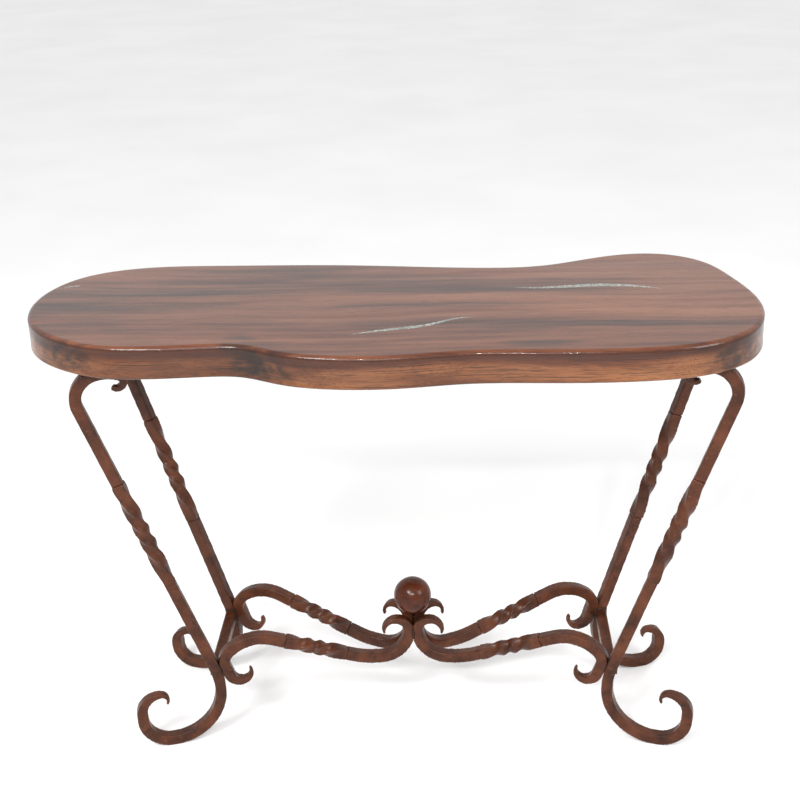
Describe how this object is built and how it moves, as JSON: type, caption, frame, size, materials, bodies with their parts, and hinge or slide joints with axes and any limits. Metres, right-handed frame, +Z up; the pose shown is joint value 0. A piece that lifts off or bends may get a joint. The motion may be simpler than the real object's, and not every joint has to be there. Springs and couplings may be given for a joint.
{
  "type": "console table",
  "caption": "Live-edge hardwood slab with stone-filled cracks on a welded wrought-iron base of scrolled, twisted bars around a centre ball.",
  "frame": {"origin": "on the floor, under the middle of the slab's outline", "axes": "+X to the right along the slab, +Y to the rear, +Z up"},
  "size_m": [1.2468, 0.5159, 0.815],
  "materials": {
    "slab_wood": "clear gloss lacquer",
    "crushed_stone": "set in clear resin, polished flush",
    "wrought_iron": "satin rust-brown lacquer over forged steel",
    "screw_steel": "dark, dull"
  },
  "bodies": {
    "root": {"slab_top": "slab_wood", "front_inlay": "crushed_stone", "rear_right_inlay": "crushed_stone", "left_inlay": "crushed_stone", "front_left_leg_hook": "wrought_iron", "front_left_leg_twist": "wrought_iron", "front_left_leg_foot": "wrought_iron", "front_left_arm_scroll": "wrought_iron", "front_left_arm_twist": "wrought_iron", "front_left_arm_curl": "wrought_iron", "front_right_leg_hook": "wrought_iron", "front_right_leg_twist": "wrought_iron", "front_right_leg_foot": "wrought_iron", "front_right_arm_scroll": "wrought_iron", "front_right_arm_twist": "wrought_iron", "front_right_arm_curl": "wrought_iron", "rear_left_leg_hook": "wrought_iron", "rear_left_leg_twist": "wrought_iron", "rear_left_leg_foot": "wrought_iron", "rear_left_arm_scroll": "wrought_iron", "rear_left_arm_twist": "wrought_iron", "rear_left_arm_curl": "wrought_iron", "rear_right_leg_hook": "wrought_iron", "rear_right_leg_twist": "wrought_iron", "rear_right_leg_foot": "wrought_iron", "rear_right_arm_scroll": "wrought_iron", "rear_right_arm_twist": "wrought_iron", "rear_right_arm_curl": "wrought_iron", "centre_ball": "wrought_iron", "left_crossbar": "wrought_iron", "right_crossbar": "wrought_iron", "left_top_strap": "wrought_iron", "right_top_strap": "wrought_iron", "strap_screws": "screw_steel"}
  },
  "joints": []
}
